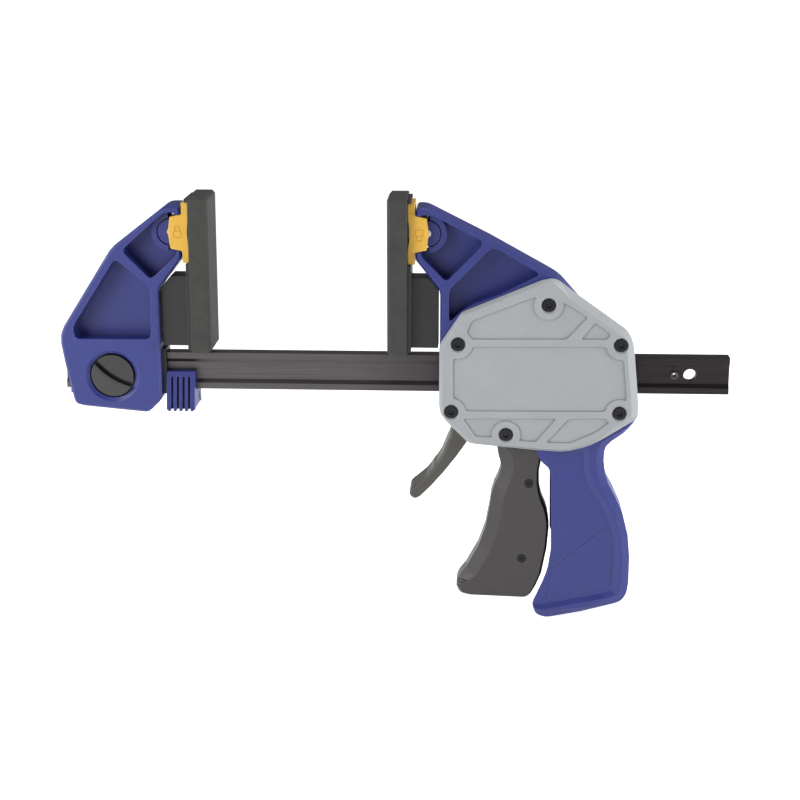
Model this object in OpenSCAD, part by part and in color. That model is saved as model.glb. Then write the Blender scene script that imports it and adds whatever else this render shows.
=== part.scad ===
// Quick release bar clamp: an I-section bar, a fixed jaw locked to one end of it, and a head with
// a jaw, a pistol grip, a trigger and a release lever that slides along the bar.
// +X runs along the bar to its free end, +Z from the grip to the jaws, +Y away from the cover.
// The origin is on the axis of the hanging hole, in the middle of the bar.

/* [Bar] */
// Height of the bar
bar_h = 22; // [20:0.5:23]
// Width of the bar's flanges
bar_w = 9; // [8:0.5:10]
// Thickness of the bar's web
web_t = 6; // [4:0.5:6.5]
// Thickness of each flange at its edge
flange_t = 3.7; // [3:0.1:4.5]
// Height of the slope between a flange and the web
flange_slope = 2.2; // [1:0.1:2.5]
// Distance from the hanging hole to the bar's free end
hole_margin = 22.8; // [12:0.2:24]
// Radius of the hanging hole
hole_r = 3.75; // [2.5:0.25:4.5]
// Distance from the hanging hole back to the stop pin
stop_pin_gap = 9; // [8:0.5:12]
// Radius of the stop pin
stop_pin_r = 2.4; // [1.5:0.1:3]
// Radius of the hole through the stop pin
stop_hole_r = 1.4; // [0.6:0.1:1.4]

/* [Jaws] */
// Opening between the pads, as the clamp stands
opening = 103; // [60:1:140]
// Widest opening of the jaws
full_opening = 150; // [145:1:900]
// Height of the jaws above the bar's axis
jaw_rise = 99; // [95:1:104]
// Thickness of the jaws and the body
jaw_t = 26; // [25:0.5:28]
// Thickness of the web between a jaw's pockets
jaw_web = 3; // [2:0.5:5]
// Length of the fixed jaw behind its front wall
jaw_back = 59; // [56:1:64]
// How far the nose stands in front of the jaw's wall
nose_reach = 14.2; // [13:0.1:15]
// Bevel along the jaws' edges
edge_bevel = 1.1; // [0.4:0.1:1.2]

/* [Pads] */
// Height of a pad
pad_h = 92; // [86:1:94]
// Width of a pad across the jaws
pad_w = 34; // [30:1:40]
// Thickness of a pad
pad_t = 11.5; // [9:0.5:14]
// Bevel round a pad's clamping face
pad_bevel = 1.6; // [0.8:0.2:2.4]
// Gap from the bar to the foot of a pad
pad_foot = 2; // [1:0.5:4]
// Thickness of the plate that carries a pad
carrier_t = 4.4; // [4:0.2:5]
// Height of the stop block on the back of a carrier
block_h = 41.5; // [38:0.5:44]
// Width of the stop block across the jaws
block_w = 16; // [12:1:20]

/* [Swivels] */
// Distance from the jaw's wall to the swivel pin
hub_reach = 7.5; // [7.3:0.1:7.7]
// Height of the swivel pin above the bar's axis
hub_z = 83.5; // [83:0.1:84]
// Radius of the swivel pin
swivel_pin_r = 2; // [1.8:0.1:2.4]
// Height of the swivel block's flange
flange_h = 35; // [33:0.5:36]
// Thickness of the swivel block's flange
flange_d = 4; // [3.6:0.1:4.2]
// Height of the swivel block's back
swivel_h = 18.2; // [17:0.2:19]
// Growth of the swivel block's half height towards its flange
swivel_taper = 1.6; // [0.8:0.1:1.8]
// Width of the swivel block across the jaws
swivel_w = 24; // [22:0.5:25]

/* [Head] */
// Length of the head along the bar
head_w = 116; // [114:0.5:119]
// Depth of the grip below the bar's axis
grip_drop = 150; // [146:1:158]
// Height of the cover above the bar's axis
cover_up = 59; // [58:0.5:60]
// Thickness of the cover
cover_t = 4.5; // [4:0.1:6]
// Bevel round the cover
cover_bevel = 1.8; // [1:0.2:2.4]
// Width of the slope along the cover's free side
cover_slope = 4.2; // [2.4:0.2:4.6]
// Depth of the cover's sunk panels
panel_depth = 0.7; // [0.3:0.1:1.2]
// Thickness of the body's walls
wall = 4.5; // [4:0.1:5]
// Thickness of the body's back
back_wall = 2; // [1.6:0.1:2.4]
// Thickness of the grip's side walls
grip_wall = 1.6; // [1.4:0.1:1.8]
// Depth of the sunk panel in the grip's side
grip_recess = 1.5; // [0.6:0.1:1.5]
// Width of the bevel along the grip's back and foot
grip_bevel = 4.5; // [2:0.1:4.8]

/* [Screws] */
// Radius of a cover screw's head
screw_head_r = 3.6; // [3.2:0.1:4.2]
// Height of a cover screw's head
screw_head_h = 2.4; // [1.8:0.1:2.6]
// Radius of a cover screw's shank
screw_r = 1.9; // [1.5:0.1:2.2]
// Length of a cover screw under its head
screw_len = 16; // [12:0.5:18]

/* [Trigger] */
// Width of the trigger across the grip
trigger_w = 19; // [17:0.5:19]
// Wall of the trigger's two hollow halves
trigger_wall = 2.6; // [2:0.1:3.2]
// Width of the chamfer along the trigger's front edges
trigger_chamfer = 7.5; // [4:0.5:8]
// Radius of the trigger's pivot pin
pivot_r = 2.5; // [2:0.1:3]
// Height of the trigger's pivot above the bar's axis
pivot_z = 20; // [19:0.5:22]

/* [Release lever] */
// Width of the release lever
lever_w = 21; // [16:0.5:21]
// Radius of the release lever's pin
lever_pin_r = 1.75; // [1.5:0.05:2]

/* [Drive and brake] */
// Thickness of each drive plate
drive_t = 3; // [2.5:0.1:3.2]
// Number of drive plates
drive_count = 2; // [1:1:2]
// Thickness of the brake plate
brake_t = 4; // [3.5:0.1:4.2]
// Tilt of the brake plate at rest in degrees
brake_tilt = 4; // [2:0.5:4]
// Width of the drive and brake plates
plate_w = 18; // [16:0.5:18.5]
// Wire diameter of the springs
wire_d = 1.3; // [1:0.1:1.4]
// Outer radius of the springs
spring_r = 4.1; // [3.6:0.1:4.2]
// Number of coils in a spring
spring_turns = 5; // [4:1:6]

/* [Lock knob] */
// Radius of the lock knob
knob_r = 12.5; // [11:0.1:12.8]
// How far the knob's axis lies below the bar's axis
knob_drop = 1.7; // [0:0.1:1.8]
// Radius of the lock shaft
lock_r = 3; // [2.5:0.1:3.1]

/* [Bar clip] */
// Length of the pinch clip along the bar
clip_len = 16.8; // [14:0.2:20]
// Depth of the clip's wings below the bar's axis
clip_drop = 23; // [20:0.5:25]
// Number of ribs on each wing
clip_ribs = 5; // [3:1:6]

/* [Hidden] */

$fn = 48;
// Overrun of a cut past the face that it opens
cut = 1;
// Clearance between pieces that slide or swing past each other
clear = 0.3;
// Radial clearance of a pin in its bore
run = 0.05;
// Turn of each step on a rounded corner of an outline, in degrees
corner_turn = 24;

// The stop pin meets the head's stop when the jaws are fully open, which sets the bar's length
pad_gap = clear;
carrier_seat = 0.5 * carrier_t;
pad_reach = nose_reach + 2 * clear + flange_d + pad_gap + pad_t;
pad_back = pad_reach - pad_t;
stop_face = 0.76 * head_w;
travel_out = full_opening - opening - clear;
head_x = -stop_pin_gap - stop_pin_r - clear - stop_face - travel_out;
fixed_x = head_x - 2 * pad_reach - opening;
// Length of the bar that stands out of the back of the fixed jaw
bar_out = 0.7;
bar_left = fixed_x - jaw_back + bar_out;
bar_len = hole_margin - bar_left;
pad_low = bar_h / 2 + pad_foot;

// Half thicknesses across the clamp
jaw_y = jaw_t / 2;
cover_face = -jaw_y - cover_t;
back_y = jaw_y - back_wall;
well_y = jaw_y - grip_recess - grip_wall;

// Heights on the jaws' front: the nose holds the seat of the swivel block on a floor
notch_gap = 0.55;
nose_floor = 3.95;
nose_low = hub_z - swivel_h / 2 - swivel_taper - notch_gap - nose_floor;
wall_top = nose_low - 1.24 * nose_reach;
nose_lip = 1.2;

// Points given as shares of a width and a height
function sized(shares, w, h) = [for (s = shares) [s[0] * w, s[1] * h]];
function mirrored(points) = [for (i = [len(points) - 1:-1:0]) [-points[i][0], points[i][1]]];
function unit(v) = v / norm(v);
function wrap(points, i) = points[(i + len(points)) % len(points)];

// Each sharp corner becomes a parabola between two points at most a reach away on its sides
function corner_curve(a, p, b, steps) = [
    for (k = [0:steps])
        let (t = k / steps)
        (1 - t) * (1 - t) * a + 2 * t * (1 - t) * p + t * t * b
];

function rounded(points, reach) = [
    for (i = [0:len(points) - 1])
        let (
            p = points[i],
            before = wrap(points, i - 1) - p,
            after = wrap(points, i + 1) - p,
            turn = 180 - acos(unit(before) * unit(after)),
            a = p + unit(before) * min(reach, 0.42 * norm(before)),
            b = p + unit(after) * min(reach, 0.42 * norm(after))
        )
        for (q = turn < corner_turn / 2 ? [p] : corner_curve(a, p, b, ceil(turn / corner_turn))) q
];

// An outline that runs anticlockwise, drawn in by one distance, or by a distance for each point
function inset(points, d) = [
    for (i = [0:len(points) - 1])
        let (
            e = unit(points[i] - wrap(points, i - 1)),
            f = unit(wrap(points, i + 1) - points[i]),
            m = [-e[1], e[0]],
            n = [-f[1], f[0]]
        )
        points[i] + (m + n) * (is_list(d) ? d[i] : d) / (1 + m * n)
];

// Twice the area of a triangle, negative where it runs clockwise
function turn_area(a, b, c) = (b[0] - a[0]) * (c[1] - a[1]) - (c[0] - a[0]) * (b[1] - a[1]);

function inside(p, a, b, c) = turn_area(a, b, p) >= 0 && turn_area(b, c, p) >= 0 && turn_area(c, a, p) >= 0;

// A corner can be cut off where it stands out and no other corner lies in its triangle
function is_ear(points, left, k) =
    let (
        n = len(left),
        a = points[left[(k + n - 1) % n]],
        b = points[left[k]],
        c = points[left[(k + 1) % n]]
    )
    turn_area(a, b, c) > 0
        && len([for (j = [2:n - 2]) if (inside(points[left[(k + j) % n]], a, b, c)) j]) == 0;

function first_ear(points, left, k) =
    k >= len(left) - 1 || is_ear(points, left, k) ? k : first_ear(points, left, k + 1);

// Triangles that fill an outline that runs anticlockwise, cut off corner by corner
function triangles(points, left) =
    len(left) == 3
        ? [left]
        : let (n = len(left), k = first_ear(points, left, 0))
            concat(
                [[left[(k + n - 1) % n], left[k], left[(k + 1) % n]]],
                triangles(points, [for (i = [2:n + 1]) if (i != n) left[(k + i) % n]])
            );

// A flat shape in X and Z, thick from y0 to y1
module slab(y0, y1) {
    translate([0, y1, 0])
        rotate([90, 0, 0])
            linear_extrude(y1 - y0) children();
}

// A solid through outlines in X and Z with as many points each, given with their places on Y
module lofted(rings) {
    n = len(rings[0][1]);
    last = len(rings) - 1;
    corners = [for (i = [0:n - 1]) i];
    verts = [for (r = rings) for (p = r[1]) [p[0], r[0], p[1]]];
    sides = [
        for (r = [0:last - 1])
            for (i = [0:n - 1])
                let (
                    a = r * n + i,
                    b = r * n + (i + 1) % n
                )
                for (f = [[a, b, b + n], [a, b + n, a + n]]) f
    ];
    front = [for (t = triangles(rings[0][1], corners)) [t[2], t[1], t[0]]];
    back = [for (t = triangles(rings[last][1], corners)) [for (i = t) last * n + i]];
    polyhedron(verts, concat(sides, front, back));
}

// An outline in X and Z made into a slab with a bevel at its front and its back
module bevelled(points, y0, y1, front, back) {
    lofted([
        [y0, inset(points, front)],
        [y0 + front, points],
        [y1 - back, points],
        [y1, inset(points, back)]
    ]);
}

// How far a value has come from one end of a span to the other, from 0 to 1
function along(v, start, end) = min(1, max(0, (v - start) / (end - start)));

// A cylinder along Y
module peg(x, z, r, y0, y1) {
    translate([x, y1, z])
        rotate([90, 0, 0])
            cylinder(h = y1 - y0, r = r);
}

// A box between two corners
module box(low, high) {
    translate(low) cube(high - low);
}

// Bar

// Section of the bar in Y and Z
function bar_section(grow) =
    let (
        w = bar_w / 2 + grow,
        h = bar_h / 2 + grow,
        inner = bar_h / 2 - flange_t - grow,
        root = inner - flange_slope,
        t = web_t / 2 + grow
    )
    [
        [w, -h], [w, -inner], [t, -root], [t, root], [w, inner], [w, h],
        [-w, h], [-w, inner], [-t, root], [-t, -root], [-w, -inner], [-w, -h]
    ];

knob_x = fixed_x - 0.49 * jaw_back;

module bar() {
    color("#3a3637")
        difference() {
            translate([bar_left, 0, 0])
                rotate([90, 0, 90])
                    linear_extrude(bar_len) polygon(bar_section(0));
            peg(0, 0, hole_r, -bar_w, bar_w);
            peg(-stop_pin_gap, 0, stop_pin_r, -bar_w, bar_w);
            peg(knob_x, -knob_drop, lock_r + run, -bar_w, bar_w);
        }
}

// The pin stands out of the web but stays inside the flanges
stop_pin_y = bar_w / 2 - 0.05 * bar_w;

module stop_pin() {
    color("#3a3a3b")
        difference() {
            peg(-stop_pin_gap, 0, stop_pin_r, -stop_pin_y, stop_pin_y);
            peg(-stop_pin_gap, 0, stop_hole_r, -stop_pin_y - cut, stop_pin_y + cut);
        }
}

// Jaws

// Front edge of a jaw from its foot to the top of its nose, for a jaw that faces +X
function jaw_front(foot) = [
    [0, foot],
    [0, wall_top],
    [nose_reach - nose_lip, nose_low - nose_lip],
    [nose_reach, nose_low],
    [nose_reach, jaw_rise]
];

// Reach of the rounded corners of the jaws and of their pockets
jaw_corner = 2.4;
pocket_corner = 3.2;
fixed_foot = -0.16 * jaw_rise;
fixed_back_shares = [
    [0.086, 1], [-0.452, 0.753], [-0.978, 0.264], [-1.003, 0.2], [-0.963, 0.05],
    [-0.882, -0.186], [-0.828, -0.203], [-0.14, -0.241]
];
fixed_outline = rounded(
    concat(jaw_front(fixed_foot), sized(fixed_back_shares, jaw_back, jaw_rise)),
    jaw_corner
);
fixed_upper_shares = [[-0.35, 0.738], [-0.07, 0.566], [0.2, 0.71], [0.2, 0.965], [0.08, 0.965]];
fixed_lower_shares = [[-0.848, 0.205], [-0.088, 0.207], [-0.075, 0.522], [-0.42, 0.69], [-0.872, 0.276]];

// Seat of the swivel block in a jaw that faces +X: a notch in the nose, with a boss left in it
hub_boss_r = 7.3;
hub_groove = 0.8;
hub_ring_r = 11.2;
hub_y = 8;
tongue_y = 3.2;
tongue_r = 6;
flange_gap = nose_reach + 2 * clear;
swivel_back = 0.7;
swivel_corner = 1.2;

// Back edge of the swivel block from top to foot, moved out by a gap, up to a place in front of it
function swivel_back_edge(gap, front) = [
    [front, hub_z + swivel_h / 2 + swivel_taper + gap],
    [hub_reach - swivel_back + swivel_corner - gap, hub_z + swivel_h / 2 + gap],
    [hub_reach - swivel_back - gap, hub_z],
    [hub_reach - swivel_back + swivel_corner - gap, hub_z - swivel_h / 2 - gap],
    [front, hub_z - swivel_h / 2 - swivel_taper - gap]
];

module tongue_slot() {
    y = tongue_y + clear;
    r = tongue_r + 2 * clear;
    peg(hub_reach, hub_z, r, -y, y);
    box([hub_reach, -y, hub_z - r], [nose_reach + cut, y, hub_z + r]);
}

module hub_seat_cut() {
    slab(-jaw_y - cut, jaw_y + cut) polygon(swivel_back_edge(notch_gap, nose_reach + cut));
    tongue_slot();
}

// The round boss is slotted for the block's tongue and bored for the pin
module hub_boss() {
    difference() {
        union() {
            peg(hub_reach, hub_z, hub_boss_r, -hub_y, hub_y);
            // ring behind the boss, kept clear of the block
            difference() {
                peg(hub_reach, hub_z, hub_ring_r, -hub_y, hub_y);
                peg(hub_reach, hub_z, hub_boss_r + hub_groove, -hub_y - cut, -hub_y + 2 * hub_groove);
                peg(hub_reach, hub_z, hub_boss_r + hub_groove, hub_y - 2 * hub_groove, hub_y + cut);
                box([hub_reach - swivel_back - notch_gap, -jaw_y, hub_z - hub_ring_r - cut],
                    [hub_reach + hub_ring_r + cut, jaw_y, hub_z + hub_ring_r + cut]);
            }
        }
        tongue_slot();
        peg(hub_reach, hub_z, swivel_pin_r, -jaw_y, jaw_y);
    }
}

// Pockets on both sides of a jaw leave its web in the middle
module jaw_pocket(points) {
    slab(-jaw_y - cut, -jaw_web / 2) polygon(points);
    slab(jaw_web / 2, jaw_y + cut) polygon(points);
}

// Sleeve of the bar inside the fixed jaw
sleeve_wall = 2.3;
sleeve_out = 2.3;
sleeve_y = bar_w / 2 + clear + sleeve_wall;
sleeve_z = bar_h / 2 + clear + sleeve_wall;
knob_y0 = -jaw_y + 0.37 * jaw_y;
knob_proud = 1.4;
knob_y1 = -jaw_y - knob_proud;
knob_gap = 1.1;
mouth_r = knob_r + 3.4;
mouth_low_r = knob_r + knob_gap + clear;
mouth_d = 1.1;

module fixed_jaw() {
    color("#32387a")
        union() {
            difference() {
                translate([fixed_x, 0, 0]) bevelled(fixed_outline, -jaw_y, jaw_y, edge_bevel, edge_bevel);
                translate([fixed_x, 0, 0]) {
                    jaw_pocket(rounded(sized(fixed_upper_shares, jaw_back, jaw_rise), pocket_corner));
                    jaw_pocket(rounded(sized(fixed_lower_shares, jaw_back, jaw_rise), pocket_corner));
                    hub_seat_cut();
                }
                // way for the sleeve and the bar
                box([bar_left - cut, -sleeve_y, -sleeve_z], [fixed_x + cut, sleeve_y, sleeve_z]);
                // recess of the knob, with its bevelled mouth, and the bore of its shaft
                peg(knob_x, -knob_drop, knob_r + knob_gap, -jaw_y - cut, knob_y0 - clear);
                translate([knob_x, -jaw_y + mouth_d, -knob_drop])
                    rotate([90, 0, 0])
                        cylinder(h = 2 * mouth_d, r1 = mouth_low_r, r2 = 2 * mouth_r - mouth_low_r);
                peg(knob_x, -knob_drop, lock_r + run, -jaw_y, jaw_y - back_wall);
            }
            translate([fixed_x, 0, 0]) hub_boss();
        }
}

module bar_sleeve() {
    sleeve_left = bar_left + 0.05 * jaw_back;
    color("#2c2b2c")
        difference() {
            box([sleeve_left, -sleeve_y, -sleeve_z], [fixed_x + sleeve_out, sleeve_y, sleeve_z]);
            box([sleeve_left - cut, -bar_w / 2 - clear / 2, -bar_h / 2 - clear / 2],
                [fixed_x + sleeve_out + cut, bar_w / 2 + clear / 2, bar_h / 2 + clear / 2]);
            peg(knob_x, -knob_drop, lock_r + run, -jaw_y, jaw_y);
        }
}

// Lock knob: a disc with a bowed rib across it, with a deep groove above and a slope below
knob_bow_r = 39;
knob_groove_w = 2.4;
knob_groove_d = 4;
knob_rib_w = 1.8;
knob_flat_d = 1.3;
knob_slope_d = 3.4;
knob_turn = 33;
knob_seat_d = 4.8;

// What is cut from the disc's face, in distances from the middle of the bow and from the face
knob_cut = [
    [knob_bow_r - 1.4 * knob_r, -cut],
    [knob_bow_r + 1.4 * knob_r, -cut],
    [knob_bow_r + 1.4 * knob_r, knob_slope_d],
    [knob_bow_r + knob_groove_w / 2 + knob_rib_w, 0],
    [knob_bow_r + knob_groove_w / 2, 0],
    [knob_bow_r + knob_groove_w / 2, knob_groove_d],
    [knob_bow_r - knob_groove_w / 2, knob_groove_d],
    [knob_bow_r - knob_groove_w / 2, knob_flat_d],
    [knob_bow_r - 1.4 * knob_r, knob_flat_d]
];

module lock_knob() {
    color("#3f3e3d")
        difference() {
            peg(knob_x, -knob_drop, knob_r, knob_y1, knob_y0 - 2 * clear);
            translate([knob_x, knob_y1, -knob_drop])
                rotate([0, knob_turn, 0])
                    translate([0, 0, knob_bow_r])
                        rotate([-90, 0, 0])
                            rotate_extrude() polygon(knob_cut);
            peg(knob_x, -knob_drop, lock_r, knob_y1 + knob_seat_d, knob_y0 + cut);
        }
}

module lock_shaft() {
    color("silver") peg(knob_x, -knob_drop, lock_r, knob_y1 + knob_seat_d, jaw_y - back_wall - clear);
}

// Bar clip: a bridge under the bar with a wing on each side that hooks over the lower flange

clip_x = fixed_x + sleeve_out + clear;
clip_top = 0.2;
clip_wing_top = 8.6;
clip_wing_low = 13;
clip_wing_t = 3.6;
clip_bridge = 3.4;
clip_groove_w = 1.5;
clip_groove_d = 2.4;
clip_groove_top = -2.6;
clip_end_t = 2.4;

module clip_wing() {
    inner = bar_w / 2 + clear;
    under = -bar_h / 2 - clear;
    hook = bar_h / 2 - flange_t - flange_slope - clear;
    pitch = clip_len / clip_ribs;
    rib_r = (pitch - clip_groove_w) / 2;
    difference() {
        intersection() {
            // side view of the wing in Y and Z, drawn along the bar
            translate([clip_x, 0, 0])
                rotate([90, 0, 90])
                    linear_extrude(clip_len)
                        polygon([
                            [-clip_wing_top, clip_top], [-web_t / 2 - clear, clip_top],
                            [-web_t / 2 - clear, -hook], [-inner, -hook - flange_slope],
                            [-inner, under], [0, under],
                            [0, under - clip_bridge], [-inner, under - clip_bridge],
                            [-clip_wing_low + clip_wing_t, -clip_drop], [-clip_wing_low, -clip_drop]
                        ]);
            // front view of the wing, with a round end on each rib
            slab(-clip_wing_low - cut, cut)
                union() {
                    translate([clip_x - cut, -clip_drop + rib_r]) square([clip_len + 2 * cut, clip_drop]);
                    for (i = [0:clip_ribs - 1])
                        translate([clip_x + (i + 0.5) * pitch, -clip_drop + rib_r]) circle(r = rib_r);
                }
        }
        // grooves between the ribs, open at the foot
        slope = (clip_wing_low - clip_wing_top) / (clip_top + clip_drop);
        for (i = [1:clip_ribs - 1])
            translate([clip_x + i * pitch - clip_groove_w / 2, 0, 0])
                rotate([90, 0, 90])
                    linear_extrude(clip_groove_w)
                        polygon([
                            [-clip_wing_top - slope * (clip_top - clip_groove_top), clip_groove_top],
                            [-clip_wing_low - slope * cut - cut, -clip_drop - cut],
                            [-clip_wing_low - slope * cut + clip_groove_d, -clip_drop - cut],
                            [-clip_wing_top - slope * (clip_top - clip_groove_top) + clip_groove_d,
                                clip_groove_top - clip_groove_d]
                        ]);
    }
}

// Wall between the wings at the end away from the jaw, sunk a little into both
module clip_end() {
    root = -(bar_h + clip_bridge) / 2 - clear;
    foot = -clip_drop + (clip_len / clip_ribs - clip_groove_w) / 2;
    root_y = (bar_w + clip_wing_t) / 2;
    foot_y = clip_wing_low - clip_wing_t / 2;
    translate([clip_x + clip_len - clip_end_t - clear, 0, 0])
        rotate([90, 0, 90])
            linear_extrude(clip_end_t)
                polygon([[-root_y, root], [-foot_y, foot], [foot_y, foot], [root_y, root]]);
}

module bar_clip() {
    color("#32387a")
        union() {
            clip_wing();
            mirror([0, 1, 0]) clip_wing();
            clip_end();
        }
}

// Swivel blocks, pins, carriers and pads, made for the jaw that faces +X

swivel_y = swivel_w / 2;
flange_relief = 0.9;

// The block in side view: a flange against the nose and a body that reaches to the boss
function swivel_outline() = concat(
    swivel_back_edge(0, flange_gap),
    [
        [flange_gap, hub_z - flange_h / 2],
        [flange_gap + flange_d, hub_z - flange_h / 2],
        [flange_gap + flange_d, hub_z + flange_h / 2],
        [flange_gap, hub_z + flange_h / 2]
    ]
);

module swivel_block() {
    relief_r = (flange_h * flange_h / 16 + flange_relief * flange_relief) / (2 * flange_relief);
    difference() {
        union() {
            difference() {
                slab(-swivel_y, swivel_y) polygon(swivel_outline());
                // round the boss, on both sides of the tongue
                peg(hub_reach, hub_z, 1.05 * hub_boss_r + clear, -hub_y - clear, hub_y + clear);
                // shallow round relief on the pad's side
                peg(flange_gap + flange_d - flange_relief + relief_r, hub_z, relief_r,
                    -swivel_y - cut, swivel_y + cut);
            }
            // tongue in the boss's slot
            slab(-tongue_y, tongue_y)
                union() {
                    translate([hub_reach, hub_z]) circle(r = tongue_r);
                    translate([hub_reach, hub_z - tongue_r])
                        square([flange_gap + flange_d / 2 - hub_reach, 2 * tongue_r]);
                }
        }
        peg(hub_reach, hub_z, swivel_pin_r + run, -hub_y, hub_y);
    }
}

module swivel_pin() {
    peg(hub_reach, hub_z, swivel_pin_r, -hub_y, hub_y);
}

pad_rim = 2.6;
carrier_y = pad_w / 2 - pad_rim;
carrier_edge = 1.6;
block_gap = 1.1;
block_foot = 3;
block_low = pad_low + block_foot;
block_chamfer = 7;

module pad_carrier() {
    block_top = block_low + block_h;
    front = pad_back + carrier_seat;
    difference() {
        union() {
            box([front - carrier_t, -carrier_y, pad_low + carrier_edge],
                [front, carrier_y, pad_low + pad_h - carrier_edge]);
            // stop block that nearly meets the jaw's wall
            slab(-block_w / 2, block_w / 2)
                polygon([
                    [block_gap, block_low], [front - carrier_t / 2, block_low],
                    [front - carrier_t / 2, block_top], [block_gap + 0.8 * block_chamfer, block_top],
                    [block_gap, block_top - block_chamfer]
                ]);
        }
        // slot that takes the flange of the swivel block, open to both sides
        box([0, -carrier_y - cut, hub_z - flange_h / 2 - clear],
            [flange_gap + flange_d + clear / 2, carrier_y + cut, hub_z + flange_h / 2 + clear]);
    }
}

// The pad's outline in Y and Z, with small cut corners, bevelled at the clamping face
module pad() {
    corner = pad_bevel;
    w = pad_w / 2;
    h = pad_h;
    pocket_y = carrier_y + clear / 2;
    pocket_edge = carrier_edge - clear / 2;
    outline = [
        [-w + corner, 0], [w - corner, 0], [w, corner], [w, h - corner],
        [w - corner, h], [-w + corner, h], [-w, h - corner], [-w, corner]
    ];
    difference() {
        translate([0, 0, pad_low])
            rotate([0, 0, 90])
                mirror([0, 1, 0])
                    bevelled(outline, pad_back, pad_reach, pad_bevel / 4, pad_bevel);
        // pocket for the carrier
        box([pad_back - cut, -pocket_y, pad_low + pocket_edge],
            [pad_back + carrier_seat + clear / 2, pocket_y, pad_low + pad_h - pocket_edge]);
    }
}

// The moving jaw faces -X
module on_fixed() {
    translate([fixed_x, 0, 0]) children();
}

module on_moving() {
    translate([head_x, 0, 0]) mirror([1, 0, 0]) children();
}

module fixed_swivel_pin() {
    color("silver") on_fixed() swivel_pin();
}

module moving_swivel_pin() {
    color("silver") on_moving() swivel_pin();
}

module fixed_swivel_block() {
    color("#f9c94f") on_fixed() swivel_block();
}

module moving_swivel_block() {
    color("#f9c94f") on_moving() swivel_block();
}

module fixed_pad_carrier() {
    color("#303030") on_fixed() pad_carrier();
}

module moving_pad_carrier() {
    color("#303030") on_moving() pad_carrier();
}

module fixed_pad() {
    color("#4a4a48") on_fixed() pad();
}

module moving_pad() {
    color("#4a4a48") on_moving() pad();
}

// Head: one moulding with the jaw, the housing and the grip. Its points count from the jaw's wall.

housing_low_shares = [[0, -0.15], [0.022, -0.243], [0.15, -0.385], [0.31, -0.405], [0.482, -0.422]];
grip_shares = [
    [0.521, -0.346], [0.559, -0.368], [0.572, -0.398], [0.58, -0.707], [0.565, -0.795],
    [0.531, -0.867], [0.487, -0.941], [0.508, -0.985], [0.56, -1], [0.745, -0.971],
    [0.907, -0.937], [0.95, -0.925], [0.978, -0.89], [0.985, -0.838], [0.985, -0.735],
    [0.973, -0.643], [0.942, -0.552], [0.904, -0.487], [0.866, -0.433], [0.847, -0.387],
    [0.838, -0.338], [0.84, -0.289], [0.857, -0.266], [0.894, -0.245], [0.943, -0.218]
];
arm_shares = [
    [0.995, -0.255], [0.992, -0.141], [0.965, 0.13], [0.945, 0.2], [0.912, 0.245], [0.87, 0.258],
    [0.707, 0.44], [0.596, 0.586], [0.53, 0.631], [0.243, 0.816], [0.068, 0.919], [-0.07, 1]
];
body_outline = rounded(
    concat(
        mirrored(jaw_front(-0.144 * jaw_rise)),
        sized(housing_low_shares, head_w, jaw_rise),
        sized(grip_shares, head_w, grip_drop),
        sized(arm_shares, head_w, jaw_rise)
    ),
    jaw_corner
);
// The bevel is wide along the grip's back and foot, and narrow elsewhere
body_bevels = [
    for (p = body_outline)
        let (
            back = along(p[0] / head_w, 0.78, 0.8) * along(-p[1] / grip_drop, 0.2, 0.3),
            foot = along(-p[1] / grip_drop, 0.96, 0.98)
        )
        edge_bevel + (grip_bevel - edge_bevel) * max(back, foot)
];
body_bevel_d = 1.8;
moving_upper_shares = [[0.03, 0.566], [0.21, 0.785], [0.205, 0.815], [0.12, 0.862], [-0.045, 0.96],
    [-0.102, 0.96], [-0.102, 0.72]];
moving_lower_shares = [[0.045, 0.325], [0.14, 0.425], [0.3, 0.497], [0.5, 0.617], [0.285, 0.765],
    [0.25, 0.77], [0.043, 0.52]];
cavity_shares = [
    [0.039, -0.15], [0.056, -0.237], [0.17, -0.364], [0.36, -0.385], [0.483, -0.4], [0.64, -0.404],
    [0.79, -0.343], [0.86, -0.298], [0.94, -0.222], [0.951, -0.141], [0.935, 0.1], [0.87, 0.197],
    [0.672, 0.424], [0.57, 0.545], [0.49, 0.54], [0.29, 0.45], [0.12, 0.358], [0.039, 0.24]
];
lever_way_shares = [[0.05, -0.22], [-0.02, -0.5], [0.22, -0.5], [0.22, -0.36], [0.17, -0.24]];
well_shares = [
    [0.27, -0.21], [0.27, -0.32], [0.4, -0.42], [0.4, -1.04], [0.519, -0.967], [0.869, -0.909],
    [0.918, -0.893], [0.931, -0.831], [0.933, -0.713], [0.92, -0.636], [0.892, -0.56], [0.84, -0.495],
    [0.789, -0.435], [0.766, -0.376], [0.762, -0.281], [0.762, -0.2]
];
panel_shares = [
    [0.519, -0.967], [0.869, -0.909], [0.918, -0.893], [0.931, -0.831], [0.933, -0.713],
    [0.92, -0.636], [0.892, -0.56], [0.84, -0.495], [0.789, -0.435], [0.766, -0.376],
    [0.762, -0.281], [0.4, -0.27], [0.4, -0.94]
];
plate_shares = [
    [0.57, -0.925], [0.596, -0.79], [0.86, -0.612], [0.885, -0.66], [0.885, -0.85], [0.874, -0.868]
];
plate_rise = 0.4;
screw_shares = [
    [0.54, 0.742], [0.092, 0.342], [0.903, 0.349], [0.06, -0.344], [0.906, -0.341], [0.338, -0.573]
];
screw_places = sized(screw_shares, head_w, cover_up);
screw_boss_wall = 1.4;
screw_boss_r = screw_r + screw_boss_wall;

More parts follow.
